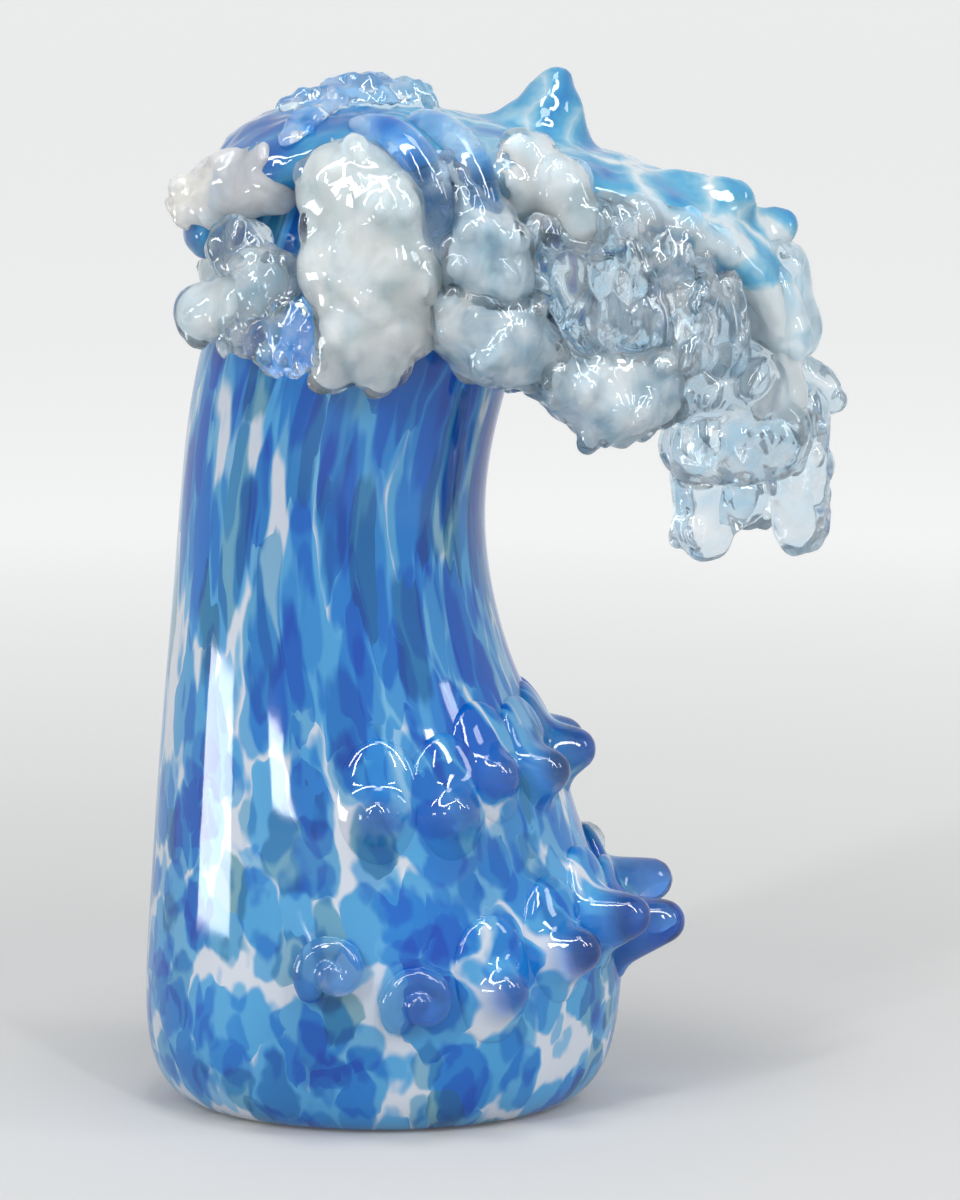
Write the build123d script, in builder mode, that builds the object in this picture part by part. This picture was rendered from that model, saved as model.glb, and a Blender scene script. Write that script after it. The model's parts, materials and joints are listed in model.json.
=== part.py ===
from build123d import *
import os
from math import asin, cos, degrees, radians, sin

# Blown glass wave: a hollow cased body, a crest that curls over, foam bits, hanging drips and splash points.
# Millimetres. +Z is up, the crest breaks towards +X, and the origin is the middle of the flat foot.
# Every joint is a hot seal: each bit of glass takes the shape of the glass that it was stuck on.

# Outline of the blown body at each level: height, reach to the back (-X), reach to the face (+X), depth (Y)
FOOT_BACK = 43.0
FOOT_FACE = 43.0
FOOT_DEPTH = 72.0
HEEL_HEIGHT = 6.0
HEEL_BACK = 53.0
HEEL_FACE = 52.5
HEEL_DEPTH = 88.0
BELLY_HEIGHT = 27.0
BELLY_BACK = 57.0
BELLY_FACE = 57.5
BELLY_DEPTH = 97.0
KNEE_HEIGHT = 72.0
KNEE_BACK = 54.2
KNEE_FACE = 46.0
KNEE_DEPTH = 91.0
WAIST_HEIGHT = 105.0
WAIST_BACK = 51.4
WAIST_FACE = 32.5
WAIST_DEPTH = 82.0
NECK_HEIGHT = 146.0
NECK_BACK = 47.8
NECK_FACE = 25.4
NECK_DEPTH = 74.0
SHOULDER_HEIGHT = 184.0
SHOULDER_BACK = 42.0
SHOULDER_FACE = 34.0
SHOULDER_DEPTH = 76.0
BODY_HEIGHT = 223.0
TOP_BACK = 32.0
TOP_FACE = 50.0
TOP_DEPTH = 62.0

# Layers of the blown wall, from the outside in
CASING_WALL = 3.5
CASING_FLOOR = 7.0
CASING_ROOF = 3.5
FRIT_WALL = 1.2
CORE_WALL = 3.0
CORE_FLOOR = 8.0
CORE_ROOF = 3.0

# Crest, from its tail over the crown and the brow to the nose and the tip: place, width (Y) and thickness
CROWN_HEIGHT = 229.0
TAIL_REACH = 43.0
TAIL_DROP = 16.0
TAIL_WIDTH = 48.0
TAIL_THICKNESS = 15.0
TAIL_RIM_RADIUS = 8.6
CROWN_REACH = 14.0
CROWN_WIDTH = 80.0
CROWN_THICKNESS = 24.0
BROW_REACH = 40.0
BROW_DROP = 5.5
BROW_WIDTH = 76.0
BROW_THICKNESS = 19.0
NOSE_REACH = 83.0
NOSE_DROP = 23.0
NOSE_WIDTH = 58.0
NOSE_THICKNESS = 16.0
TIP_REACH = 95.0
TIP_DROP = 57.0
TIP_WIDTH = 38.0
TIP_THICKNESS = 10.0
TIP_RIM_RADIUS = 6.2
RIM_OVERHANG = 1.0

# Foam: every ball is sized in beads, and hangs below the crest line by a number of steps
FOAM_BEAD = 6.0
FOAM_STEP = 10.0

# Ribbons of glass that wind over the crest between the foam bits
RIBBON_RADIUS = 4.0

# Splash points: bits stuck on the wall in two rows and pulled out, and two that were curled back on the wall
SPLASH_ROOT_RADIUS = 10.5
SPLASH_TIP_RADIUS = 5.2
SPLASH_LIFT = 0.22
UPPER_ROW_HEIGHT = 77.0
LOWER_ROW_HEIGHT = 33.0
CURL_RADIUS = 6.8
CURL_ROPE_RADIUS = 3.8
CURL_START = 215.0
CURL_SWEEP = -240.0

# Each splash point: the way it faces, in degrees from +X, its height in the row and its reach out of the wall
UPPER_ROW = [
    (-90, 0.0, 9.0),
    (-67, 0.0, 9.0),
    (-51, 7.0, 9.0),
    (-31, 6.0, 11.0),
    (-8, 8.0, 12.0),
    (20, 7.0, 11.5),
]
LOWER_ROW = [
    (-57, 2.0, 10.0),
    (-38, 9.0, 13.0),
    (-22, 14.0, 16.0),
    (-7, 9.0, 18.5),
    (11, 15.0, 18.5),
    (34, 21.0, 15.0),
]
# Each curled point, further back on the lower row: the way it faces and its height in the row
CURLED_ROW = [(-101, 7.0), (-78, 0.0)]

BODY_STATIONS = [
    (0, FOOT_BACK, FOOT_FACE, FOOT_DEPTH),
    (HEEL_HEIGHT, HEEL_BACK, HEEL_FACE, HEEL_DEPTH),
    (BELLY_HEIGHT, BELLY_BACK, BELLY_FACE, BELLY_DEPTH),
    (KNEE_HEIGHT, KNEE_BACK, KNEE_FACE, KNEE_DEPTH),
    (WAIST_HEIGHT, WAIST_BACK, WAIST_FACE, WAIST_DEPTH),
    (NECK_HEIGHT, NECK_BACK, NECK_FACE, NECK_DEPTH),
    (SHOULDER_HEIGHT, SHOULDER_BACK, SHOULDER_FACE, SHOULDER_DEPTH),
    (BODY_HEIGHT, TOP_BACK, TOP_FACE, TOP_DEPTH),
]
CREST_STATIONS = [
    (-TAIL_REACH, TAIL_DROP, TAIL_WIDTH, TAIL_THICKNESS),
    (-CROWN_REACH, 0, CROWN_WIDTH, CROWN_THICKNESS),
    (BROW_REACH, BROW_DROP, BROW_WIDTH, BROW_THICKNESS),
    (NOSE_REACH, NOSE_DROP, NOSE_WIDTH, NOSE_THICKNESS),
    (TIP_REACH, TIP_DROP, TIP_WIDTH, TIP_THICKNESS),
]

# Each foam bit is a list of strands, and each strand one ball, or two that a rod of glass joins. A ball is
# (share of the crest line, place across it in half widths, steps below it, size in beads).
# Bits on the front of the crest and round its nose
FRONT_BITS = {
    "crest_peak_tall": [[(0.48, -0.05, 0.5, 2.9), (0.525, -0.05, -2.15, 0.75)]],
    "crest_peak_middle": [[(0.69, -0.4, -0.1, 1.6), (0.79, -0.5, -1.35, 0.8)]],
    "crest_peak_front": [[(0.78, -0.2, -0.1, 1.6), (0.98, -0.25, -3.6, 0.72)]],
    "tail_foam_upper": [[(0.13, -0.82, 0.1, 1.45), (0.0, -0.85, -0.45, 1.1)]],
    "tail_foam_lower": [[(0.115, -0.92, 2.6, 1.4), (0.02, -1.0, 2.3, 1.15)]],
    "tail_foam_beads": [
        [(0.085, -1.0, 1.4, 1.3)],
        [(0.135, -1.08, 2.6, 1.4)],
        [(0.175, -1.1, 3.8, 1.2)],
        [(0.09, -1.1, 3.3, 0.9), (0.12, -1.1, 3.4, 1.1)],
        [(0.14, -1.1, 4.1, 1.0), (0.165, -1.1, 4.2, 1.05)],
    ],
    "front_foam_mass": [
        [(0.243, -1.03, 0.8, 2.1), (0.282, -1.12, 1.3, 2.2)],
        [(0.242, -1.13, 2.5, 2.0), (0.302, -1.14, 2.5, 2.0)],
        [(0.248, -1.1, 3.9, 1.8), (0.309, -1.06, 3.8, 1.65)],
        [(0.22, -1.08, 4.8, 1.0)],
        [(0.283, -1.04, 4.7, 1.15)],
    ],
    "crown_foam": [
        [(0.225, -0.38, -0.95, 1.05), (0.26, -0.3, -1.05, 1.2)],
        [(0.275, -0.28, -1.0, 1.1), (0.32, -0.2, -1.05, 0.95)],
        [(0.21, -0.44, -0.9, 1.0), (0.175, -0.8, -0.2, 1.2)],
    ],
    "middle_foam_upper": [
        [(0.385, -1.0, 0.7, 1.5), (0.42, -1.1, 1.6, 1.6)],
        [(0.387, -1.12, 2.1, 1.5), (0.445, -1.1, 2.4, 1.35)],
    ],
    "middle_foam_mass": [
        [(0.39, -1.08, 3.4, 1.8), (0.445, -1.05, 3.6, 1.85)],
        [(0.42, -0.97, 4.2, 1.35), (0.485, -0.93, 4.0, 1.35)],
    ],
    "brow_foam_lobe": [
        [(0.48, -0.86, -0.3, 1.35)],
        [(0.525, -0.97, 0.1, 1.35)],
        [(0.445, -0.95, 0.25, 1.3)],
        [(0.55, -1.02, 0.75, 1.2)],
    ],
    "brow_foam_ropes": [
        [(0.515, -1.02, 1.2, 1.2), (0.57, -1.05, 3.1, 1.05)],
        [(0.56, -1.04, 1.2, 1.1), (0.615, -1.04, 2.9, 1.05)],
        [(0.6, -1.02, 0.9, 1.1), (0.65, -1.03, 2.8, 1.05)],
    ],
    "brow_foam_beads": [
        [(0.588, -1.02, 0.7, 1.35)],
        [(0.636, -1.0, 0.4, 1.2)],
        [(0.7, -0.96, 0.45, 1.35), (0.668, -1.04, 1.1, 1.2)],
        [(0.745, -0.88, 0.3, 1.05)],
    ],
    "lip_foam_lobe": [
        [(0.545, -0.9, 4.3, 1.7), (0.6, -0.85, 4.6, 1.95)],
        [(0.64, -0.84, 4.0, 1.8)],
        [(0.51, -0.88, 4.4, 1.1)],
    ],
    "lip_foam_loops": [
        [(0.7, -0.98, 1.5, 1.2), (0.682, -0.94, 3.2, 1.2)],
        [(0.75, -0.84, 0.9, 1.1), (0.765, -0.86, 2.5, 1.1)],
    ],
}
# Bits that hang from the tip of the crest. A ball is (steps out from the tip, place across it in half widths,
# steps below it, size in beads)
TIP_BITS = {
    "curtain_front": [
        [(-1.95, -1.12, -0.45, 1.6), (-0.9, -0.97, -0.3, 1.75)],
        [(-1.8, -1.05, 1.1, 1.65), (-0.35, -0.75, 0.9, 1.75)],
    ],
    "curtain_front_leg": [
        [(-1.8, -0.95, 1.9, 1.35), (-1.8, -0.95, 3.3, 0.92)],
        [(-0.95, -0.75, 2.3, 1.15)],
    ],
    "curtain_nose": [[(-0.2, -0.42, -3.0, 1.3), (0.25, -0.3, -1.5, 1.2)]],
    "curtain_nose_side": [[(-0.4, -0.8, -2.5, 1.25), (0.0, -0.85, -1.5, 1.15)]],
    "curtain_tip_leg": [[(0.5, 0.0, 0.5, 1.25), (0.55, 0.0, 3.3, 0.92)]],
    "curtain_ball": [[(0.5, 0.2, -0.3, 0.95), (1.0, 0.2, 0.0, 0.85)]],
    "curtain_back": [[(-1.5, 1.05, -0.4, 1.7), (-0.6, 0.85, 0.9, 1.6)]],
    "curtain_back_leg": [[(-0.9, 0.85, 1.6, 1.3), (-0.8, 0.75, 2.9, 0.95)]],
}
# Bits that the back of the crest repeats, further on and shorter than the ones on its front
BACK_BITS = [
    "tail_foam_upper",
    "tail_foam_lower",
    "tail_foam_beads",
    "front_foam_mass",
    "middle_foam_upper",
    "middle_foam_mass",
    "brow_foam_ropes",
    "brow_foam_beads",
    "lip_foam_lobe",
    "lip_foam_loops",
]
BACK_SHIFT = 0.02
BACK_HANG = 0.85

# Ribbons: three spots that each one passes, as (share of the crest line, place across it, steps below it)
RIBBONS = {
    "crown_ribbon": [(0.235, -0.72, -0.15), (0.33, -1.12, 0.0), (0.352, -1.16, 2.0)],
    "brow_ribbon": [(0.34, -0.7, -0.6), (0.395, -0.98, -0.2), (0.42, -1.13, 0.9)],
}

os.makedirs("parts", exist_ok=True)


def keep(piece, name):
    """Labels a finished piece and writes it as a STEP file of that name."""
    piece.label = name
    export_step(piece, f"parts/{name}.step")


def blown_form(wall, floor, roof):
    """The body's form, drawn in from the outside by a wall, a floor and a roof."""
    with BuildPart() as form:
        for height, back, face, depth in BODY_STATIONS:
            level = floor + height * (1 - (floor + roof) / BODY_HEIGHT)
            with BuildSketch(Plane(((face - back) / 2, 0, level))):
                Ellipse((back + face) / 2 - wall, depth / 2 - wall)
        loft()
    return form.part


def layer(outer, inner):
    """A layer of the blown wall, between two forms."""
    with BuildPart() as shell:
        add(outer)
        add(inner, mode=Mode.SUBTRACT)
    return shell.part


def rounded_rod(start, end, start_radius, end_radius):
    """A rod of glass with round ends that tapers from one radius to the other."""
    length = (end - start).length
    taper = degrees(asin((start_radius - end_radius) / length))
    with BuildPart() as rod:
        with BuildSketch(Plane.XZ):
            with BuildLine():
                root = CenterArc((0, 0), start_radius, -90, 90 + taper)
                tip = CenterArc((0, length), end_radius, taper, 90 - taper)
                Line(root @ 1, tip @ 0)
                Line(tip @ 1, root @ 0)
            make_face()
        revolve(axis=Axis.Z)
    return Plane(start, z_dir=end - start) * rod.part


def sealed(solids):
    """One bit of glass made of these solids, seated on the body and on the bits that were there before it."""
    with BuildPart() as bit:
        add(solids)
        gather = bit.part
        box = gather.bounding_box()
        for seat, seat_box in seats:
            if box.overlaps(seat_box):
                add(seat, mode=Mode.SUBTRACT)
    seats.append((gather, box))
    return bit.part.solids().sort_by(SortBy.VOLUME)[-1]


# Blown body: clear casing over melted frit over an opal core, with a sealed hollow inside
envelope = blown_form(0, 0, 0)
frit_form = blown_form(CASING_WALL, CASING_FLOOR, CASING_ROOF)
core_form = blown_form(CASING_WALL + FRIT_WALL, CASING_FLOOR + FRIT_WALL, CASING_ROOF + FRIT_WALL)
hollow_form = blown_form(
    CASING_WALL + FRIT_WALL + CORE_WALL,
    CASING_FLOOR + FRIT_WALL + CORE_FLOOR,
    CASING_ROOF + FRIT_WALL + CORE_ROOF,
)
keep(layer(envelope, frit_form), "clear_casing")
keep(layer(frit_form, core_form), "blue_frit_layer")
keep(layer(core_form, hollow_form), "opal_core")

# Crest: a thick sheet over the top of the body that curls down at its nose, with a rolled rim at each end
with BuildLine(Plane.XZ) as crest_profile:
    Spline([(reach, CROWN_HEIGHT - drop) for reach, drop, width, thickness in CREST_STATIONS])
crest_line = crest_profile.edge()
crest_shares = [
    crest_line.param_at_point((reach, 0, CROWN_HEIGHT - drop))
    for reach, drop, width, thickness in CREST_STATIONS
]

with BuildPart() as crest_curl:
    for share, (reach, drop, width, thickness) in zip(crest_shares, CREST_STATIONS):
        with BuildSketch(Plane(crest_line @ share, x_dir=(0, 1, 0), z_dir=crest_line % share)):
            Ellipse(width / 2, thickness / 2)
    loft()
    for share, width, radius in [(0, TAIL_WIDTH, TAIL_RIM_RADIUS), (1, TIP_WIDTH, TIP_RIM_RADIUS)]:
        end = crest_line @ share
        side = Vector(0, width / 2 + RIM_OVERHANG - radius, 0)
        add(rounded_rod(end - side, end + side, radius, radius))
    add(envelope, mode=Mode.SUBTRACT)
keep(crest_curl.part, "crest_curl")

# What a bit of glass can be sealed on, with its box: the body, the crest and each bit set there before it
seats = [(seat, seat.bounding_box()) for seat in (envelope, crest_curl.part)]


def half_width(share):
    """Half the crest's width at a share of its line, straight between the stations."""
    for i in range(1, len(crest_shares)):
        if share <= crest_shares[i] or i == len(crest_shares) - 1:
            part = (share - crest_shares[i - 1]) / (crest_shares[i] - crest_shares[i - 1])
            return (CREST_STATIONS[i - 1][2] * (1 - part) + CREST_STATIONS[i][2] * part) / 2


def crest_spot(share, across, steps):
    """A point beside the crest: along its line, across it in half widths, and below it in foam steps."""
    return crest_line @ share + Vector(0, across * half_width(share), -steps * FOAM_STEP)


def tip_spot(steps_out, across, steps):
    """A point beside the crest's tip: out and below in foam steps, and across it in half widths."""
    return crest_line @ 1 + Vector(steps_out * FOAM_STEP, across * TIP_WIDTH / 2, -steps * FOAM_STEP)


def strand_solid(strand, spot):
    """The solid of one strand of foam: a ball, or a rod that joins two balls."""
    spots = [spot(*place) for *place, beads in strand]
    radii = [beads * FOAM_BEAD for *place, beads in strand]
    if len(strand) == 2:
        return rounded_rod(*spots, *radii)
    with BuildPart() as ball:
        with Locations(spots[0]):
            Sphere(radii[0])
    return ball.part


def rope_solid(arc, radius):
    """A round rope of glass along an arc, with round ends."""
    with BuildPart() as rope:
        add(arc)
        with BuildSketch(Plane(arc @ 0, z_dir=arc % 0)):
            Circle(radius)
        sweep()
        with Locations(arc @ 0, arc @ 1):
            Sphere(radius)
    return rope.part


def ribbon_solid(spots):
    """A ribbon of glass along an arc through three spots beside the crest."""
    with BuildLine() as path:
        ThreePointArc(*[crest_spot(*spot) for spot in spots])
    return rope_solid(path.edge(), RIBBON_RADIUS)


for name, spots in RIBBONS.items():
    keep(sealed([ribbon_solid(spots)]), name)

for name, strands in FRONT_BITS.items():
    keep(sealed([strand_solid(strand, crest_spot) for strand in strands]), name)

for name, strands in TIP_BITS.items():
    keep(sealed([strand_solid(strand, tip_spot) for strand in strands]), name)

for name in BACK_BITS:
    strands = [
        [(share + BACK_SHIFT, -across, steps * BACK_HANG, beads) for share, across, steps, beads in strand]
        for strand in FRONT_BITS[name]
    ]
    keep(sealed([strand_solid(strand, crest_spot) for strand in strands]), f"back_{name}")

# Splash points: each stands on the wall where its ray from the middle of the body leaves the glass
def wall_plane(bearing, height):
    """The plane that lies on the wall at a bearing and a height, with its X level and its Z outward."""
    outward = Vector(cos(radians(bearing)), sin(radians(bearing)), 0)
    ray = Axis((0, 0, height), outward)
    hits = [hit for face in envelope.faces() for hit, normal in face.find_intersection_points(ray)]
    return Plane(max(hits, key=outward.dot), x_dir=Vector(0, 0, 1).cross(outward), z_dir=outward)


def splash_solid(bearing, reach, height):
    """A splash point that stands out of the wall by a reach."""
    wall = wall_plane(bearing, height)
    pull = (wall.z_dir + Vector(0, 0, SPLASH_LIFT)).normalized()
    return rounded_rod(
        wall.origin - pull * SPLASH_ROOT_RADIUS / 2,
        wall.origin + pull * (reach - SPLASH_TIP_RADIUS),
        SPLASH_ROOT_RADIUS,
        SPLASH_TIP_RADIUS,
    )


def curled_solid(bearing, height):
    """A splash point that was drawn out as a rope and curled back on the wall."""
    with BuildLine(wall_plane(bearing, height)) as path:
        CenterArc((0, 0), CURL_RADIUS, CURL_START, CURL_SWEEP)
    return rope_solid(path.edge(), CURL_ROPE_RADIUS)


for number, (bearing, rise, reach) in enumerate(UPPER_ROW, 1):
    keep(sealed([splash_solid(bearing, reach, UPPER_ROW_HEIGHT + rise)]), f"upper_splash_{number}")

for number, (bearing, rise) in enumerate(CURLED_ROW, 1):
    keep(sealed([curled_solid(bearing, LOWER_ROW_HEIGHT + rise)]), f"lower_splash_{number}")

for number, (bearing, rise, reach) in enumerate(LOWER_ROW, len(CURLED_ROW) + 1):
    keep(sealed([splash_solid(bearing, reach, LOWER_ROW_HEIGHT + rise)]), f"lower_splash_{number}")
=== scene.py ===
import bpy
import json
import math
import random
import numpy as np
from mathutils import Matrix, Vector

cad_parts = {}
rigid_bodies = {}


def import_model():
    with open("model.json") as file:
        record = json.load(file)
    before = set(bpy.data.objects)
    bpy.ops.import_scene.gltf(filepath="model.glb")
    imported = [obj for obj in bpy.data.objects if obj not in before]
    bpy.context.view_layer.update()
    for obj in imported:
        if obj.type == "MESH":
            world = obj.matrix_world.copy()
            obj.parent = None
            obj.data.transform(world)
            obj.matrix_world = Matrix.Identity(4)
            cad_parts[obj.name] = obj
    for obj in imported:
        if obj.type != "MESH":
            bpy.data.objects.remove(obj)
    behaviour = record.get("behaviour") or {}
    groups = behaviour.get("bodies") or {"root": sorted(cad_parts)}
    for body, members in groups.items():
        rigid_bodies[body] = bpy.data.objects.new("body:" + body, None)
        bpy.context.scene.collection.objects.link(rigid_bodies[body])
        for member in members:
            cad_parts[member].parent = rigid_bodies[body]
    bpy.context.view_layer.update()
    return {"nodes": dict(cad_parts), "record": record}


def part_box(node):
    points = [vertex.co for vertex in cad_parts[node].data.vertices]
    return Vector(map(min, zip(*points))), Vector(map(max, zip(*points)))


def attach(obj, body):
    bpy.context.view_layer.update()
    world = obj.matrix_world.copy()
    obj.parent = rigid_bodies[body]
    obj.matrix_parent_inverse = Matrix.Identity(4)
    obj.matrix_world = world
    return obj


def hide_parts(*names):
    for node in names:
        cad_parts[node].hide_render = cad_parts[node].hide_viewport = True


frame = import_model()

MM = 0.001
UP = Vector((0, 0, 1))

# Tools for shaping glass
MERGE_DISTANCE = 0.01 * MM
FACES_FRONT = 0.1
FACES_END = 0.6
BUBBLE_LEAN = 0.8
BLISTER_LEVEL = 0.4
CORE_VOXEL = 1.0 * MM
CORE_ROUNDS = 4


def only(piece):
    """Selects one piece and nothing else."""
    bpy.ops.object.select_all(action="DESELECT")
    piece.select_set(True)
    bpy.context.view_layer.objects.active = piece


def modify(piece, kind, **settings):
    """Adds a modifier to a piece and applies it."""
    only(piece)
    modifier = piece.modifiers.new(kind.lower(), kind)
    for name, value in settings.items():
        setattr(modifier, name, value)
    bpy.ops.object.modifier_apply(modifier=modifier.name)


def swell(piece, distance):
    """Moves the skin of a piece outwards, or inwards by a distance below nought."""
    modify(piece, "DISPLACE", strength=distance, mid_level=0.0)


def close_skin(piece, voxel):
    """Gives a piece one closed, even skin."""
    modify(piece, "REMESH", mode="VOXEL", voxel_size=voxel)


def relax(piece, rounds):
    """Evens out the skin of a piece, as heat does."""
    modify(piece, "SMOOTH", factor=0.5, iterations=rounds)


def melt(piece, outwards, inwards, voxel, rounds):
    """Runs a piece together as hot glass does: it swells, closes its creases, settles back and relaxes."""
    swell(piece, outwards)
    close_skin(piece, voxel)
    swell(piece, -inwards)
    close_skin(piece, voxel)
    relax(piece, rounds)


def gather(name, nodes):
    """A copy of CAD nodes as one mesh, with its loose triangles merged."""
    bpy.ops.object.select_all(action="DESELECT")
    for node in nodes:
        mesh = frame["nodes"][node].data.copy()
        mesh.materials.clear()
        piece = bpy.data.objects.new(name, mesh)
        bpy.context.scene.collection.objects.link(piece)
        piece.select_set(True)
    bpy.context.view_layer.objects.active = piece
    if len(nodes) > 1:
        bpy.ops.object.join()
    bpy.ops.object.mode_set(mode="EDIT")
    bpy.ops.mesh.select_all(action="SELECT")
    bpy.ops.mesh.remove_doubles(threshold=MERGE_DISTANCE)
    bpy.ops.object.mode_set(mode="OBJECT")
    piece.name = name
    return piece


def add_bubbles(piece, count, radii, stretch, sunk, seed):
    """Adds round bubbles and drips to the outward side of a piece, sunk in by a share of their radius."""
    chooser = random.Random(seed)
    side = sum(vertex.co.y for vertex in piece.data.vertices) / len(piece.data.vertices)
    outward = -1 if side < 0 else 1
    spots = [
        (vertex.co.copy(), vertex.normal.copy())
        for vertex in piece.data.vertices
        if vertex.normal.y * outward > FACES_FRONT or vertex.normal.x > FACES_END
    ]
    only(piece)
    bpy.ops.object.mode_set(mode="EDIT")
    for _ in range(count):
        place, normal = chooser.choice(spots)
        radius = chooser.uniform(*radii)
        length = chooser.uniform(1, stretch)
        lean = normal.to_track_quat("Y", "Z").to_euler()
        lean.rotate_axis("Y", chooser.uniform(-BUBBLE_LEAN, BUBBLE_LEAN))
        hang = lean.to_matrix() @ UP * (length - 1) * radius
        bpy.ops.mesh.primitive_uv_sphere_add(
            segments=16,
            ring_count=10,
            radius=radius,
            location=place - normal * radius * sunk - hang,
            rotation=lean,
            scale=(1, 1, length),
        )
    bpy.ops.object.mode_set(mode="OBJECT")


def blister(piece, size, stretch, depth):
    """Packs the skin of a piece with bubbles of a given size, drawn out downwards by a given share."""
    pattern = bpy.data.textures.new("blister", "VORONOI")
    pattern.noise_scale = size
    guide = bpy.data.objects.new("guide", None)
    guide.scale.z = stretch
    bpy.context.scene.collection.objects.link(guide)
    bpy.context.view_layer.update()
    modify(
        piece,
        "DISPLACE",
        texture=pattern,
        texture_coords="OBJECT",
        texture_coords_object=guide,
        strength=-depth,
        mid_level=BLISTER_LEVEL,
    )
    bpy.data.objects.remove(guide)


def finish(piece, nodes, material):
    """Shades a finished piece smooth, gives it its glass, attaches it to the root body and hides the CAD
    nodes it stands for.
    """
    only(piece)
    bpy.ops.object.shade_smooth()
    piece.data.materials.clear()
    piece.data.materials.append(material)
    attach(piece, "root")
    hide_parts(*nodes)


def add_skin(piece, material, thickness):
    """Cases a finished piece in clear glass: its own glass sinks by the thickness of the skin."""
    skin = piece.data.copy()
    swell(piece, -thickness)
    close_skin(piece, CORE_VOXEL)
    relax(piece, CORE_ROUNDS)
    only(piece)
    bpy.ops.object.shade_smooth()
    milk_faces = len(piece.data.polygons)
    cover = bpy.data.objects.new("skin", skin)
    bpy.context.scene.collection.objects.link(cover)
    cover.select_set(True)
    bpy.ops.object.join()
    piece.data.materials.append(material)
    for face in piece.data.polygons[milk_faces:]:
        face.material_index = 1


# Tools for materials
def linear(code):
    """An sRGB hex colour as linear values with alpha."""
    parts = [int(code[i : i + 2], 16) / 255 for i in (1, 3, 5)]
    return tuple(c / 12.92 if c <= 0.04045 else ((c + 0.055) / 1.055) ** 2.4 for c in parts) + (1.0,)


def add_node(tree, kind, inputs, stops=(), **settings):
    """Adds a node with its settings, colour stops and inputs, set or linked, and gives its outputs."""
    node = tree.nodes.new(kind)
    for name, value in settings.items():
        setattr(node, name, value)
    for name, value in inputs.items():
        if isinstance(value, bpy.types.NodeSocket):
            tree.links.new(value, node.inputs[name])
        else:
            node.inputs[name].default_value = value
    for number, (place, code) in enumerate(stops):
        elements = node.color_ramp.elements
        element = elements[number] if number < 2 else elements.new(place)
        element.position = place
        element.color = linear(code)
    return node.outputs


def new_material(name):
    """A new material, its node tree and its shader."""
    material = bpy.data.materials.new(name)
    material.use_nodes = True
    return material, material.node_tree, material.node_tree.nodes["Principled BSDF"]


MIDDLE_GREY = (0.5, 0.5, 0.5)

# Frit glass, whose patterns are in millimetres of the first gather
CHIP_LAYERS = [
    # cell size, place of the layer, smallest and largest dab as a share of the cell, blues
    (12.5, (0, 0, 0), 0.46, 0.72, [(0, "#58bcf0"), (0.5, "#6cc6f4"), (1, "#58b6ec")]),
    (11.0, (40, 13, 7), 0.44, 0.68, [(0, "#6cc2f0"), (0.6, "#60bcec"), (1, "#8cc0c8")]),
    (11.5, (9, 70, 31), 0.40, 0.66, [(0, "#88d2f4"), (0.6, "#78c6ee"), (1, "#7cc2ee")]),
    (9.0, (61, 27, 83), 0.34, 0.62, [(0, "#a6dcf6"), (0.7, "#98d2f4"), (1, "#9cc8cc")]),
]
DAB_SOFTNESS = 0.10
DAB_SWAY = 8.0
DAB_BEND = (8.0, 8.0, 8.0)
PATCH = 26.0
CROWDING = 0.07
CROWDED_FROM = 60.0
CROWDED_TO = 85.0
POINT_ROOT = 3.0
POINT_TIP = 13.0
TIP_CLEARNESS = 0.9


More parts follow.
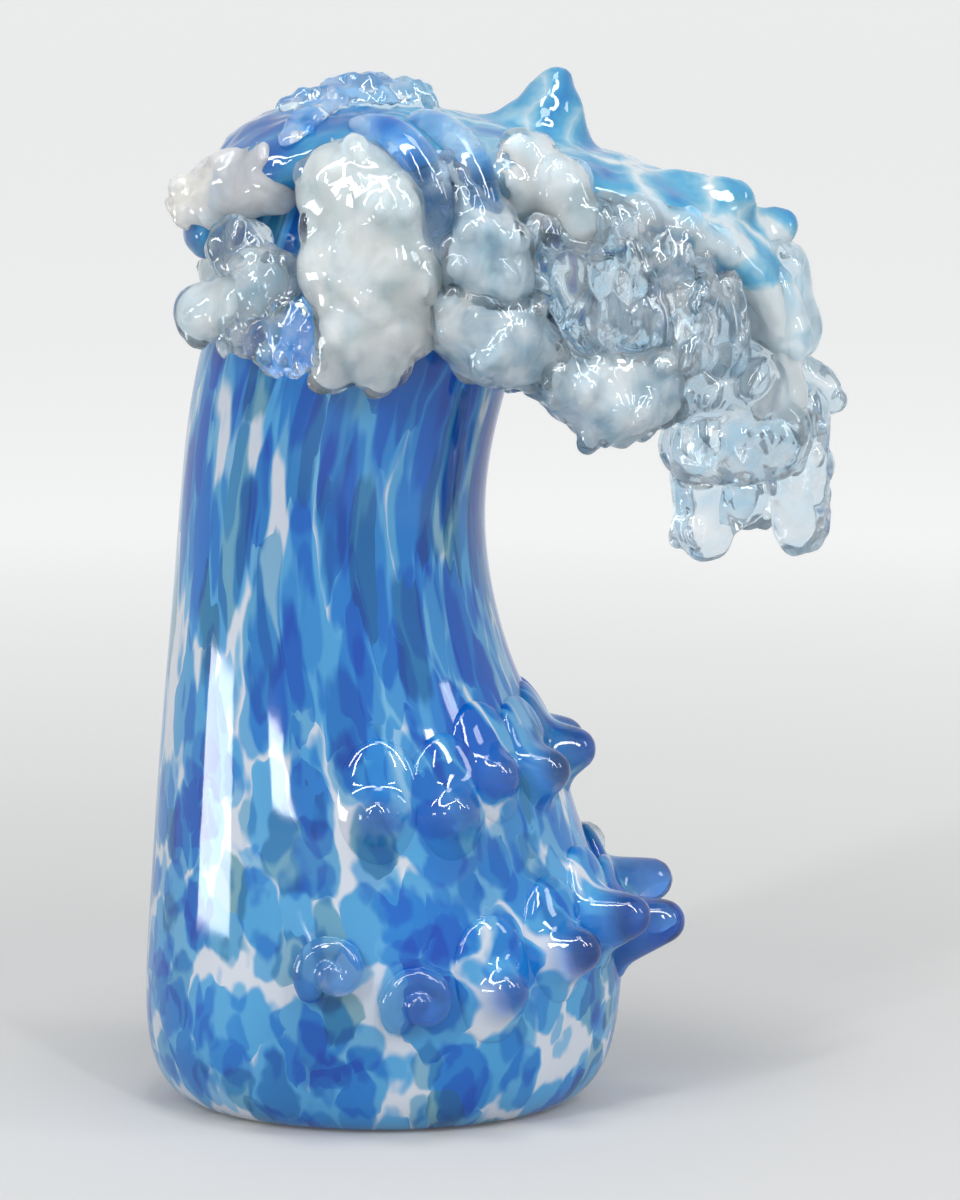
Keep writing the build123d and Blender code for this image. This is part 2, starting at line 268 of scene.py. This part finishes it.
def frit_colour(tree):
    """White opal under layers of blue dabs, which lie where each spot of glass lay in the first gather."""
    place = add_node(tree, "ShaderNodeAttribute", {}, attribute_name="chip_place")["Vector"]
    sway = add_node(
        tree,
        "ShaderNodeTexNoise",
        {"Vector": place, "Scale": 1 / DAB_SWAY, "Detail": 2.0},
    )["Color"]
    shift = add_node(tree, "ShaderNodeVectorMath", {0: sway, 1: MIDDLE_GREY}, operation="SUBTRACT")[0]
    bent = add_node(
        tree,
        "ShaderNodeVectorMath",
        {0: shift, 1: DAB_BEND, 2: place},
        operation="MULTIPLY_ADD",
    )[0]
    patchy = add_node(tree, "ShaderNodeTexNoise", {"Vector": place, "Scale": 1 / PATCH, "Detail": 1.0})["Fac"]
    whites = [(0.3, "#c4cddb"), (0.7, "#d8dee8")]
    colour = add_node(tree, "ShaderNodeValToRGB", {"Fac": patchy}, whites)["Color"]
    crowded = add_node(
        tree,
        "ShaderNodeMapRange",
        {"Value": patchy, "From Min": 0.3, "From Max": 0.7, "To Min": CROWDING, "To Max": -CROWDING},
    )["Result"]
    height = add_node(tree, "ShaderNodeSeparateXYZ", {"Vector": place})["Z"]
    drawn_up = add_node(
        tree,
        "ShaderNodeMapRange",
        {
            "Value": height,
            "From Min": CROWDED_FROM,
            "From Max": CROWDED_TO,
            "To Min": 0.0,
            "To Max": CROWDING,
        },
    )["Result"]
    crowded = add_node(tree, "ShaderNodeMath", {0: crowded, 1: drawn_up}, operation="ADD")[0]
    for size, offset, least, most, blues in CHIP_LAYERS:
        moved = add_node(tree, "ShaderNodeVectorMath", {0: bent, 1: offset}, operation="ADD")[0]
        cell = add_node(tree, "ShaderNodeTexVoronoi", {"Vector": moved, "Scale": 1 / size, "Randomness": 1.0})
        chance = add_node(tree, "ShaderNodeSeparateColor", {"Color": cell["Color"]})
        radius = add_node(
            tree,
            "ShaderNodeMapRange",
            {"Value": chance["Green"], "To Min": least, "To Max": most},
        )["Result"]
        wide = add_node(tree, "ShaderNodeMath", {0: radius, 1: crowded}, operation="ADD")[0]
        inside = add_node(tree, "ShaderNodeMath", {0: wide, 1: cell["Distance"]}, operation="SUBTRACT")[0]
        dab = add_node(
            tree,
            "ShaderNodeMapRange",
            {"Value": inside, "From Min": 0.0, "From Max": DAB_SOFTNESS},
            interpolation_type="SMOOTHSTEP",
        )["Result"]
        blue = add_node(tree, "ShaderNodeValToRGB", {"Fac": chance["Red"]}, blues)["Color"]
        colour = add_node(
            tree,
            "ShaderNodeMix",
            {"Factor": dab, "A": colour, "B": blue},
            data_type="RGBA",
            blend_type="MULTIPLY",
        )["Result"]
    return colour


def cased_frit_glass():
    """Blown opal glass under melted blue frit and a clear casing: white shows between round and drawn-out
    dabs whose blues deepen where they overlap, all under one clear, wet gloss."""
    material, tree, shader = new_material("cased_frit_glass")
    tree.links.new(frit_colour(tree), shader.inputs["Base Color"])
    shader.inputs["Roughness"].default_value = 0.06
    shader.inputs["IOR"].default_value = 1.5
    return material


def drawn_frit_glass():
    """The wall's own frit glass drawn out in points: its dabs run up the roots, and the tips thin to
    clear blue."""
    material, tree, shader = new_material("drawn_frit_glass")
    reach = add_node(tree, "ShaderNodeAttribute", {}, attribute_name="reach")["Fac"]
    thin = add_node(
        tree,
        "ShaderNodeMapRange",
        {"Value": reach, "From Min": POINT_ROOT, "From Max": POINT_TIP},
        interpolation_type="SMOOTHSTEP",
    )["Result"]
    colour = add_node(
        tree,
        "ShaderNodeMix",
        {"Factor": thin, "A": frit_colour(tree), "B": linear("#5a9cee")},
        data_type="RGBA",
    )["Result"]
    clear = add_node(
        tree,
        "ShaderNodeMapRange",
        {"Value": thin, "To Min": 0.0, "To Max": TIP_CLEARNESS},
    )["Result"]
    tree.links.new(colour, shader.inputs["Base Color"])
    tree.links.new(clear, shader.inputs["Transmission Weight"])
    shader.inputs["Roughness"].default_value = 0.02
    shader.inputs["IOR"].default_value = 1.45
    return material


# Crest glass, with its veils thick at the nose and thin at the tail and on the tall peak
VEIL_SWAY = 14 * MM
VEIL_BEND = (12 * MM, 12 * MM, 12 * MM)
VEIL_CELL = 18 * MM
VEIL_CLOUD = 30 * MM
CLOUD_SHARE = 0.55
BACK_WAY = (-0.6, 0, 1)
CREST_BLUES = [
    (0.26, "#eaf3f6"),
    (0.33, "#a6d6ea"),
    (0.42, "#5fb6de"),
    (0.58, "#3d9bd4"),
    (0.75, "#2f7ec6"),
    (1, "#2a62b4"),
]


def crest_glass():
    """Pulled azure glass with white veils between its blue cells, as clear colour drawn over opal gives."""
    material, tree, shader = new_material("crest_glass")
    place = add_node(tree, "ShaderNodeTexCoord", {})["Object"]
    sway = add_node(
        tree,
        "ShaderNodeTexNoise",
        {"Vector": place, "Scale": 1 / VEIL_SWAY, "Detail": 3.0},
    )["Color"]
    shift = add_node(tree, "ShaderNodeVectorMath", {0: sway, 1: MIDDLE_GREY}, operation="SUBTRACT")[0]
    bent = add_node(
        tree,
        "ShaderNodeVectorMath",
        {0: shift, 1: VEIL_BEND, 2: place},
        operation="MULTIPLY_ADD",
    )[0]
    edge = add_node(
        tree,
        "ShaderNodeTexVoronoi",
        {"Vector": bent, "Scale": 1 / VEIL_CELL},
        feature="DISTANCE_TO_EDGE",
    )["Distance"]
    cloud = add_node(
        tree,
        "ShaderNodeTexNoise",
        {"Vector": bent, "Scale": 1 / VEIL_CLOUD, "Detail": 4.0},
    )["Fac"]
    veil = add_node(tree, "ShaderNodeMath", {0: cloud, 1: CLOUD_SHARE, 2: edge}, operation="MULTIPLY_ADD")[0]
    back = add_node(tree, "ShaderNodeVectorMath", {0: bent, 1: BACK_WAY}, operation="DOT_PRODUCT")["Value"]
    side = add_node(tree, "ShaderNodeSeparateXYZ", {"Vector": place})
    nose = {"Value": back, "From Min": 122 * MM, "From Max": 168 * MM, "To Min": -0.4, "To Max": 0.0}
    tail = {"Value": side["X"], "From Min": -30 * MM, "From Max": 15 * MM, "To Min": 0.3, "To Max": 0.0}
    peak = {"Value": side["Z"], "From Min": 224 * MM, "From Max": 240 * MM, "To Min": 0.0, "To Max": 0.09}
    for fade in (nose, tail, peak):
        change = add_node(tree, "ShaderNodeMapRange", fade)["Result"]
        veil = add_node(tree, "ShaderNodeMath", {0: veil, 1: change}, operation="ADD")[0]
    colour = add_node(tree, "ShaderNodeValToRGB", {"Fac": veil}, CREST_BLUES)["Color"]
    tree.links.new(colour, shader.inputs["Base Color"])
    shader.inputs["Roughness"].default_value = 0.03
    shader.inputs["IOR"].default_value = 1.5
    shader.inputs["Transmission Weight"].default_value = 0.3
    return material


# Bubbly glass
SEED_SIZE = 3.5 * MM
SEED_HEIGHT = 0.6 * MM
MILK_DEPTH = 8 * MM


def bubbly_glass(name, pale, tint, murkiest, clearest, veil_size, seeds=0.0, milk=0.0):
    """Glass between milk and clear: veils cloud it, light wanders some way into its milk, small air seeds
    break its glints, and its skin is wet."""
    material, tree, shader = new_material(name)
    place = add_node(tree, "ShaderNodeTexCoord", {})["Object"]
    cloud = add_node(
        tree,
        "ShaderNodeTexNoise",
        {"Vector": place, "Scale": 1 / veil_size, "Detail": 4.0, "Distortion": 0.6},
    )["Fac"]
    colour = add_node(tree, "ShaderNodeValToRGB", {"Fac": cloud}, [(0.34, tint), (0.64, pale)])["Color"]
    clear = add_node(
        tree,
        "ShaderNodeMapRange",
        {"Value": cloud, "From Min": 0.36, "From Max": 0.66, "To Min": clearest, "To Max": murkiest},
    )["Result"]
    grain = add_node(
        tree,
        "ShaderNodeTexNoise",
        {"Vector": place, "Scale": 1 / SEED_SIZE, "Detail": 2.0},
    )["Fac"]
    bump = add_node(
        tree,
        "ShaderNodeBump",
        {"Height": grain, "Strength": seeds, "Distance": SEED_HEIGHT},
    )["Normal"]
    tree.links.new(colour, shader.inputs["Base Color"])
    tree.links.new(clear, shader.inputs["Transmission Weight"])
    tree.links.new(bump, shader.inputs["Normal"])
    shader.inputs["Roughness"].default_value = 0.02
    shader.inputs["IOR"].default_value = 1.45
    shader.inputs["Subsurface Weight"].default_value = milk
    shader.inputs["Subsurface Radius"].default_value = (1.0, 1.0, 1.0)
    shader.inputs["Subsurface Scale"].default_value = MILK_DEPTH
    return material


CASED_FRIT = cased_frit_glass()
CREST = crest_glass()
MILKY = bubbly_glass("milky_foam_glass", "#fffcf5", "#fdf8ee", 0.26, 0.52, 11 * MM, milk=0.7)
PALE = bubbly_glass("pale_foam_glass", "#f8fcfd", "#cfe9f5", 0.32, 0.66, 10 * MM, milk=0.7)
CLEAR = bubbly_glass("clear_glass", "#f8fcfe", "#cfe9f7", 0.75, 1.0, 8 * MM, seeds=0.2)
RIBBON = bubbly_glass("ribbon_glass", "#d5eaf8", "#4f9fe0", 0.6, 0.9, 12 * MM)
SPLASH = drawn_frit_glass()
OPAL = bubbly_glass("opal_core_glass", "#eef0f4", "#dde2ea", 0.0, 0.0, 20 * MM)
FRIT = bubbly_glass("blue_frit_glass", "#4f9fe0", "#2a62c0", 0.1, 0.3, 14 * MM)

# Blown body: the outer skin of the casing
BODY_VOXEL = 1.5 * MM
GLASS_ROUNDS = 6
body = gather("wave_body", ["clear_casing"])
outermost = min(body.data.vertices, key=lambda vertex: vertex.co.x)
for vertex in body.data.vertices:
    vertex.select = vertex.index == outermost.index
bpy.ops.object.mode_set(mode="EDIT")
bpy.ops.mesh.select_mode(type="VERT")
bpy.ops.mesh.select_linked()
bpy.ops.mesh.select_all(action="INVERT")
bpy.ops.mesh.delete(type="VERT")
bpy.ops.object.mode_set(mode="OBJECT")
close_skin(body, BODY_VOXEL)
relax(body, GLASS_ROUNDS)

# The chips keep their place in the glass while it is drawn up: round at the belly and long at the neck
RING_HEIGHTS = np.arange(1, 224, 3) * MM
RING_BAND = 2.5 * MM
GATHER_RADIUS = 50.0
GATHER_LEVELS = 231
BELLY_TOP = 45.0
NECK_START = 140.0
BELLY_SHORTENING = 0.66
NECK_SHORTENING = 0.62


def spots_of(piece):
    """The places of a piece's vertices as rows of an array."""
    spots = np.empty(len(piece.data.vertices) * 3)
    piece.data.vertices.foreach_get("co", spots)
    return spots.reshape(-1, 3)


def ring_sizes(spots):
    """Middle and half sizes of the body at a run of heights, as lists for interpolation."""
    rings = [spots[abs(spots[:, 2] - height) < RING_BAND] for height in RING_HEIGHTS]
    middle = [(ring[:, 0].max() + ring[:, 0].min()) / 2 for ring in rings]
    half_x = [(ring[:, 0].max() - ring[:, 0].min()) / 2 for ring in rings]
    half_y = [(ring[:, 1].max() - ring[:, 1].min()) / 2 for ring in rings]
    return middle, half_x, half_y


points = spots_of(body)
middle, half_x, half_y = ring_sizes(points)
levels = np.arange(GATHER_LEVELS) * 1.0
rise = np.clip((levels - BELLY_TOP) / (NECK_START - BELLY_TOP), 0, 1)
drawn = np.cumsum(1 - NECK_SHORTENING * rise * rise * (3 - 2 * rise))


def lay_chips(piece, spots):
    """Writes where each spot of glass lay in the gather, and how many millimetres it is off the wall."""
    x, y, z = spots.T
    along_x = (x - np.interp(z, RING_HEIGHTS, middle)) / np.interp(z, RING_HEIGHTS, half_x)
    along_y = y / np.interp(z, RING_HEIGHTS, half_y)
    turn = np.arctan2(along_y, along_x)
    chip_place = np.stack(
        [
            GATHER_RADIUS * np.cos(turn),
            GATHER_RADIUS * np.sin(turn),
            BELLY_SHORTENING * np.interp(z / MM, levels, drawn),
        ],
        axis=1,
    )
    reach = (np.hypot(along_x, along_y) - 1) * GATHER_RADIUS
    places = piece.data.attributes.new("chip_place", "FLOAT_VECTOR", "POINT")
    places.data.foreach_set("vector", chip_place.ravel())
    distances = piece.data.attributes.new("reach", "FLOAT", "POINT")
    distances.data.foreach_set("value", reach)


lay_chips(body, points)

# The wall rises into each splash point
SPLASHES = sorted(name for name in frame["nodes"] if "_splash_" in name)
CURLS = ["lower_splash_1", "lower_splash_2"]
MOUND_HEIGHT = 2 * MM
MOUND_SPREAD = 13 * MM
MOUND_DEPTH = 30 * MM


def stand(name):
    """The middle of a splash point and the level way that it faces."""
    low, high = (Vector(corner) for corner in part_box(name))
    centre = (low + high) / 2
    return centre, Vector((centre.x, centre.y, 0)).normalized()


for name in SPLASHES:
    centre, outward = (np.array(vector) for vector in stand(name))
    along = (points - centre) @ outward
    away = np.linalg.norm(points - centre - np.outer(along, outward), axis=1)
    lift = MOUND_HEIGHT * np.exp(-((away / MOUND_SPREAD) ** 2)) * (along > -MOUND_DEPTH)
    points += np.outer(lift, outward)
body.data.vertices.foreach_set("co", points.ravel())
body.data.update()
finish(body, ["clear_casing"], CASED_FRIT)

# The two layers inside the casing stay as the CAD has them
for name, material in [("opal_core", OPAL), ("blue_frit_layer", FRIT)]:
    node = frame["nodes"][name]
    node.data.materials.clear()
    node.data.materials.append(material)

# Crest with its pulled peaks, and a tail drawn in under the foam
CREST_NODES = ["crest_curl", "crest_peak_tall", "crest_peak_middle", "crest_peak_front"]
CREST_SWELL = 3.0 * MM
CREST_SETTLE = 2.8 * MM
CREST_VOXEL = 1.2 * MM
CREST_ROUNDS = 3
TAIL_START = -34 * MM
TAIL_PULL = 0.35
RIPPLE_SIZE = 8 * MM
RIPPLE_HEIGHT = 2.2 * MM
crest = gather("wave_crest", CREST_NODES)
melt(crest, CREST_SWELL, CREST_SETTLE, CREST_VOXEL, GLASS_ROUNDS)
for vertex in crest.data.vertices:
    vertex.co.x += TAIL_PULL * max(0, TAIL_START - vertex.co.x)
ripples = bpy.data.textures.new("ripple", "CLOUDS")
ripples.noise_scale = RIPPLE_SIZE
modify(crest, "DISPLACE", texture=ripples, strength=RIPPLE_HEIGHT, mid_level=0.5)
relax(crest, CREST_ROUNDS)
finish(crest, CREST_NODES, CREST)

# Foam and curtain: bubbles are counted to the square metre, blisters have a size, a stretch and a depth
FOAM = {
    "milky_foam": {
        "glass": MILKY,
        "swell": 3.6 * MM,
        "settle": 3.2 * MM,
        "bubbles": 4000,
        "radii": (1.6 * MM, 3.6 * MM),
        "stretch": 2.0,
        "sunk": 0.3,
        "blisters": (8 * MM, 1.8, 1.8 * MM),
    },
    "pale_foam": {
        "glass": PALE,
        "swell": 2.4 * MM,
        "settle": 1.8 * MM,
        "bubbles": 8000,
        "radii": (1.4 * MM, 3.4 * MM),
        "stretch": 2.2,
        "sunk": 0.2,
        "blisters": (5.5 * MM, 1.6, 2.2 * MM),
    },
    "clear_glass": {
        "glass": CLEAR,
        "swell": 2.0 * MM,
        "settle": 1.4 * MM,
        "bubbles": 6000,
        "radii": (1.5 * MM, 2.8 * MM),
        "stretch": 3.4,
        "sunk": 0.3,
        "blisters": (4.5 * MM, 1.8, 2.2 * MM),
    },
    "curtain": {
        "glass": CLEAR,
        "swell": 3.0 * MM,
        "settle": 2.0 * MM,
        "bubbles": 2400,
        "radii": (2.2 * MM, 3.6 * MM),
        "stretch": 2.2,
        "sunk": 0.4,
        "blisters": (8 * MM, 1.8, 2.4 * MM),
    },
}
GATHER_VOXEL = 1.1 * MM
GATHER_ROUNDS = 4
BUBBLE_VOXEL = 0.7 * MM
BUBBLE_ROUNDS = 2
BLISTER_ROUNDS = 3
SKIN = 2.0 * MM
TOO_THIN_FOR_SKIN = ["tail_foam_upper", "back_tail_foam_upper"]
slots = {part["node"]: part["material_slot"] for part in frame["record"]["subparts"]}
for seed, name in enumerate(sorted(frame["nodes"])):
    if slots[name] not in FOAM or name in SPLASHES:
        continue
    foam = FOAM["curtain" if name.startswith("curtain") else slots[name]]
    piece = gather(name + "_glass", [name])
    melt(piece, foam["swell"], foam["settle"], GATHER_VOXEL, GATHER_ROUNDS)
    area = sum(face.area for face in piece.data.polygons)
    add_bubbles(piece, round(foam["bubbles"] * area), foam["radii"], foam["stretch"], foam["sunk"], seed)
    close_skin(piece, BUBBLE_VOXEL)
    relax(piece, BUBBLE_ROUNDS)
    blister(piece, *foam["blisters"])
    relax(piece, BLISTER_ROUNDS)
    finish(piece, [name], foam["glass"])
    if foam["glass"] in (MILKY, PALE) and name not in TOO_THIN_FOR_SKIN:
        add_skin(piece, CLEAR, SKIN)

# Ribbons
RIBBON_SWELL = 2.2 * MM
RIBBON_SETTLE = 1.2 * MM
RIBBON_VOXEL = 1.0 * MM
for name in ["crown_ribbon", "brow_ribbon"]:
    piece = gather(name + "_glass", [name])
    melt(piece, RIBBON_SWELL, RIBBON_SETTLE, RIBBON_VOXEL, GLASS_ROUNDS)
    finish(piece, [name], RIBBON)

# Splash points, each with a skirt where it was drawn out of the wall, and two that curl in like shells
SKIRT_RADIUS = 13 * MM
SKIRT_SHAPE = (0.8, 1.2, 0.28)
SKIRT_DEPTH = 2.4 * MM
SKIRT_RISE = 4 * MM
POINT_SWELL = 3.0 * MM
POINT_SETTLE = 2.8 * MM
POINT_VOXEL = 0.9 * MM
CURL_RADII = (7.4 * MM, 1.0 * MM)
ROPE_RADII = (3.3 * MM, 2.7 * MM)
CURL_LIFTS = (1.0 * MM, 4.0 * MM)
CURL_START = math.radians(215)
CURL_SWEEP = math.radians(-410)
CURL_STEPS = 40
CURL_VOXEL = 0.6 * MM
CLEAR_OF_WALL = 39 * MM


def share(ends, part):
    """The value a part of the way from one end to the other."""
    return ends[0] + (ends[1] - ends[0]) * part


def coil_rope(piece, place, lean):
    """Makes a piece anew as a rope of glass that coils inwards on the wall."""
    bpy.ops.object.mode_set(mode="EDIT")
    bpy.ops.mesh.select_all(action="SELECT")
    bpy.ops.mesh.delete(type="VERT")
    for step in range(CURL_STEPS):
        part = step / (CURL_STEPS - 1)
        angle = CURL_START + CURL_SWEEP * part
        arm = Vector((math.cos(angle), math.sin(angle), 0)) * share(CURL_RADII, part)
        arm.z = share(CURL_LIFTS, part)
        bpy.ops.mesh.primitive_uv_sphere_add(
            segments=24,
            ring_count=12,
            radius=share(ROPE_RADII, part),
            location=place + lean @ arm,
        )
    bpy.ops.object.mode_set(mode="OBJECT")
    close_skin(piece, CURL_VOXEL)
    relax(piece, GLASS_ROUNDS)


def draw_out(piece, place, lean):
    """Gives a splash point its skirt on the wall and runs the two together."""
    bpy.ops.object.mode_set(mode="EDIT")
    bpy.ops.mesh.primitive_uv_sphere_add(
        segments=32,
        ring_count=16,
        radius=SKIRT_RADIUS,
        location=place + lean @ Vector((0, SKIRT_RISE, -SKIRT_DEPTH)),
        rotation=lean.to_euler(),
        scale=SKIRT_SHAPE,
    )
    bpy.ops.object.mode_set(mode="OBJECT")
    close_skin(piece, POINT_VOXEL)
    melt(piece, POINT_SWELL, POINT_SETTLE, POINT_VOXEL, GLASS_ROUNDS)


for name in SPLASHES:
    centre, outward = stand(name)
    _, place, normal, _ = body.ray_cast(centre + outward * CLEAR_OF_WALL, -outward)
    lean = normal.to_track_quat("Z", "Y")
    piece = gather(name + "_glass", [name])
    shape_point = coil_rope if name in CURLS else draw_out
    shape_point(piece, place, lean)
    lay_chips(piece, spots_of(piece))
    finish(piece, [name], CLEAR if slots[name] == "clear_glass" else SPLASH)


# The camera, reflections and views through glass see a pale studio, and other light stays plain
def seen_rays(tree):
    """One where the camera, a reflection or a view through glass looks, and nought for other light."""
    path = add_node(tree, "ShaderNodeLightPath", {})
    mirrored = add_node(
        tree,
        "ShaderNodeMath",
        {0: path["Is Glossy Ray"], 1: path["Is Transmission Ray"]},
        operation="MAXIMUM",
    )[0]
    return add_node(tree, "ShaderNodeMath", {0: path["Is Camera Ray"], 1: mirrored}, operation="MAXIMUM")[0]


# Floor, which pales into the distance
FLOOR_SIZE = 60
NEAR = 0.2
FAR = 1.1
NEAR_GLOW = 0.08
FAR_GLOW = 0.47
bpy.ops.object.select_all(action="DESELECT")
bpy.ops.mesh.primitive_plane_add(size=FLOOR_SIZE, location=(0, 0, 0))
floor = bpy.context.object
floor.name = "floor"
material, tree, shader = new_material("pale_floor")
place = add_node(tree, "ShaderNodeTexCoord", {})["Object"]
away = add_node(tree, "ShaderNodeVectorMath", {0: place}, operation="LENGTH")["Value"]
glow = add_node(
    tree,
    "ShaderNodeMapRange",
    {"Value": away, "From Min": NEAR, "From Max": FAR, "To Min": NEAR_GLOW, "To Max": FAR_GLOW},
)["Result"]
seen = add_node(tree, "ShaderNodeMath", {0: seen_rays(tree), 1: glow}, operation="MULTIPLY")[0]
tree.links.new(seen, shader.inputs["Emission Strength"])
shader.inputs["Emission Color"].default_value = linear("#ffffff")
shader.inputs["Base Color"].default_value = linear("#cbcbca")
shader.inputs["Roughness"].default_value = 0.9
floor.data.materials.append(material)

# Soft studio light
WORLD_LIGHT = 0.6
WORLD_SEEN = 0.97
world = bpy.data.worlds.new("studio")
bpy.context.scene.world = world
world.use_nodes = True
tree = world.node_tree
strength = add_node(
    tree,
    "ShaderNodeMapRange",
    {"Value": seen_rays(tree), "To Min": WORLD_LIGHT, "To Max": WORLD_SEEN},
)["Result"]
tree.links.new(strength, tree.nodes["Background"].inputs["Strength"])
tree.nodes["Background"].inputs["Color"].default_value = linear("#eef0f2")


def lamp(name, place, aim, width, height, watts, lights_walls=True, roll=0):
    """A soft box that stands at a place, faces a point and may lean. It may show in reflections alone."""
    light = bpy.data.lights.new(name, "AREA")
    light.shape = "RECTANGLE"
    light.size = width
    light.size_y = height
    light.energy = watts
    holder = bpy.data.objects.new(name, light)
    holder.location = place
    holder.rotation_euler = (Vector(aim) - Vector(place)).to_track_quat("-Z", "Y").to_euler()
    holder.rotation_euler.rotate_axis("Z", math.radians(roll))
    holder.visible_camera = False
    holder.visible_diffuse = lights_walls
    bpy.context.scene.collection.objects.link(holder)


MIDDLE = (0.02, 0, 0.13)
WALL = (-0.03, -0.03, 0.08)
FOAM_MIDDLE = (0.02, -0.04, 0.2)
lamp("wall_card", (-0.32, -0.07, 0.06), WALL, 0.12, 0.095, 0.45, lights_walls=False)
lamp("wall_strip", (-0.23, -0.27, 0.09), WALL, 0.05, 0.035, 0.1, lights_walls=False)
lamp("foam_strip_left", (-0.35, -0.42, 0.72), FOAM_MIDDLE, 0.09, 0.8, 6, lights_walls=False, roll=-35)
lamp("foam_strip_right", (0.4, -0.5, 0.75), FOAM_MIDDLE, 0.09, 0.8, 6, lights_walls=False, roll=20)
lamp("front_left_strip", (-0.8, -1.2, 0.9), MIDDLE, 0.1, 0.6, 7)
lamp("front_right_strip", (0.6, -1.3, 1.0), MIDDLE, 0.08, 0.5, 4)
lamp("top_box", (0.1, -0.3, 1.4), MIDDLE, 0.4, 0.4, 5)
lamp("right_box", (1.2, -0.4, 0.7), MIDDLE, 0.2, 0.5, 3)

# Camera at the photograph's viewing angle
ELEVATION = math.radians(8)
DISTANCE = 1.2
TARGET = Vector((0.024, 0, 0.1216))
camera = bpy.data.objects.new("camera", bpy.data.cameras.new("camera"))
camera.data.sensor_fit = "VERTICAL"
camera.data.sensor_height = 36
camera.data.lens = 150
camera.location = TARGET + DISTANCE * Vector((0, -math.cos(ELEVATION), math.sin(ELEVATION)))
camera.rotation_euler = (TARGET - camera.location).to_track_quat("-Z", "Y").to_euler()
bpy.context.scene.collection.objects.link(camera)
bpy.context.scene.camera = camera

bpy.context.scene.view_settings.view_transform = "Standard"
